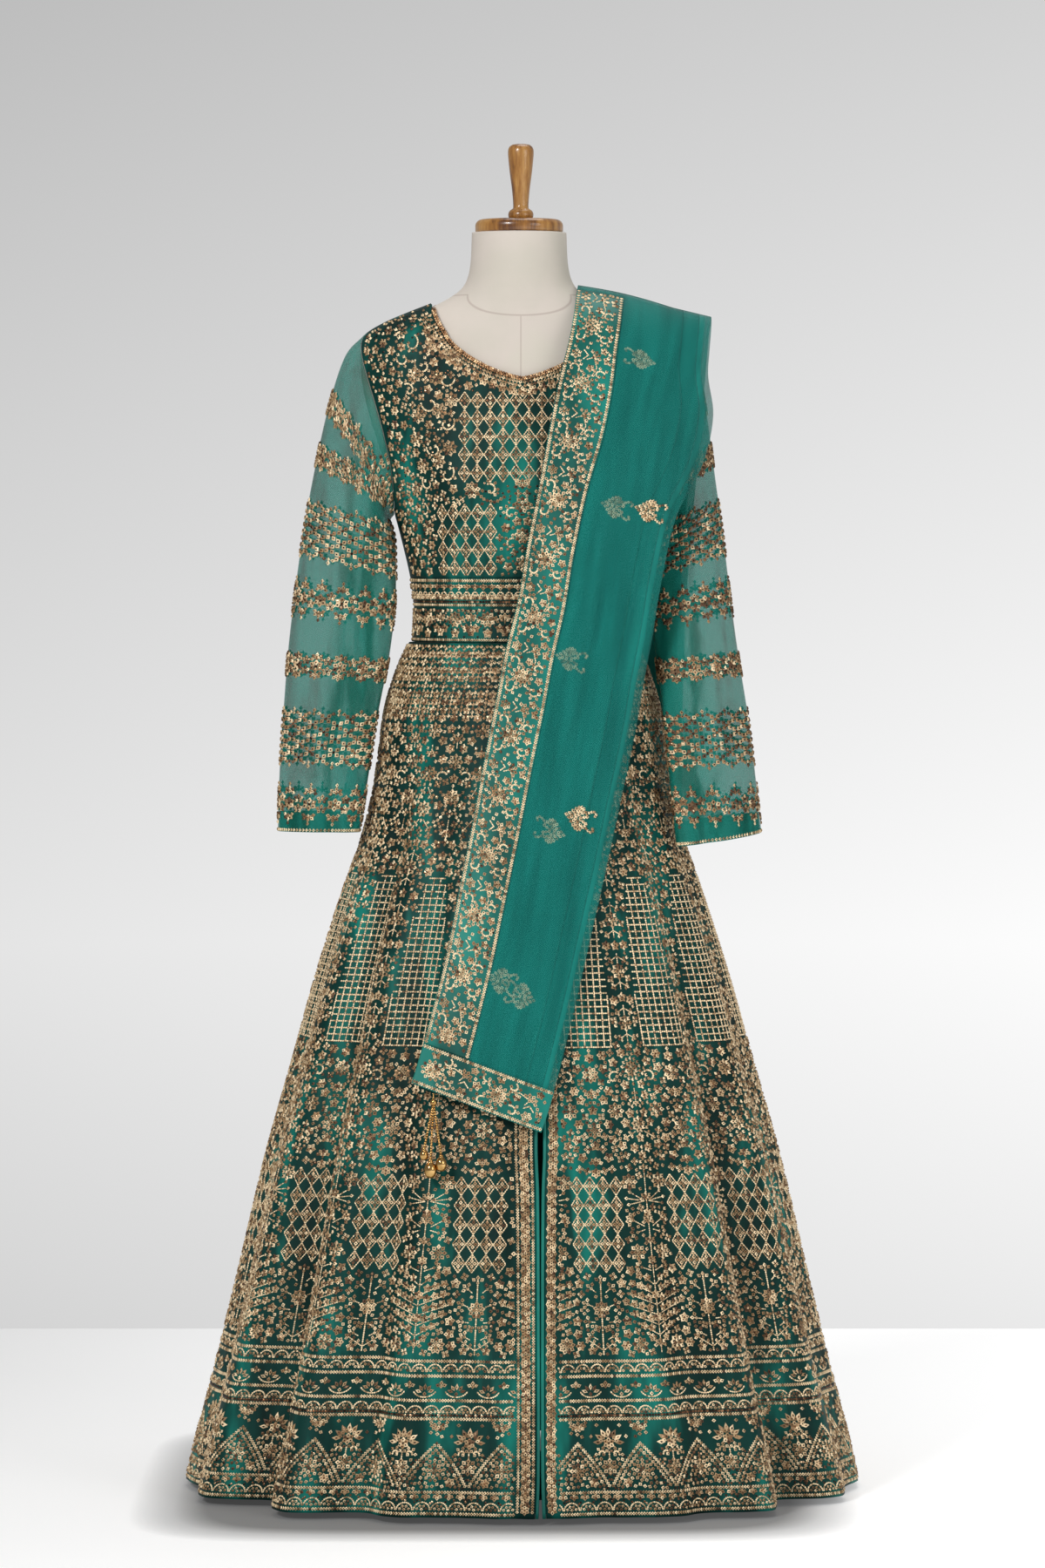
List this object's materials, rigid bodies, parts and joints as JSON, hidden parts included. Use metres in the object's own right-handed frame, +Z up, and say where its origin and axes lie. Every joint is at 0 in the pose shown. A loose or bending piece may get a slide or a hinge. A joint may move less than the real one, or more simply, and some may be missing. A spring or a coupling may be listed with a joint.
{
  "type": "lehenga gown on a limbless dress form",
  "caption": "Floor-length flared gown of gold-embroidered teal net over satin, with long sleeves and a folded scarf over one shoulder, on a limbless dress form and stand.",
  "frame": {"origin": "on the floor under the stand's pole, at the middle of the stand's base", "axes": "+Z up, -Y the way the wearer faces, +X the wearer's left"},
  "size_m": [0.8137, 0.6684, 1.6209],
  "materials": {
    "net": "teal net thick with pale gold thread embroidery and sequins",
    "satin": "satin",
    "scarf": "fine sheer net folded in layers",
    "border": "gold thread embroidery on net",
    "beads": "polished gilt",
    "linen": "natural linen stretched over the form",
    "wood": "varnished honey brown",
    "iron": "satin black"
  },
  "bodies": {
    "root": {"form_torso": "linen", "form_cap": "wood", "form_handle": "wood", "stand_base": "iron", "stand_pole": "iron", "bodice_front": "net", "bodice_back": "net", "waistband_front": "net", "waistband_back": "net", "neck_binding": "beads", "skirt_front_right": "net", "skirt_front_left": "net", "skirt_back_left": "net", "skirt_back_right": "net", "lining_right": "satin", "lining_left": "satin", "slit_edge_left": "satin", "slit_edge_right": "satin", "sleeve_right": "net", "cuff_right": "satin", "sleeve_left": "net", "cuff_left": "satin", "scarf_front": "scarf", "scarf_side_border_front": "border", "scarf_end_border_front": "border", "scarf_back": "scarf", "scarf_side_border_back": "border", "scarf_end_border_back": "border", "tassel": "beads"}
  },
  "joints": []
}
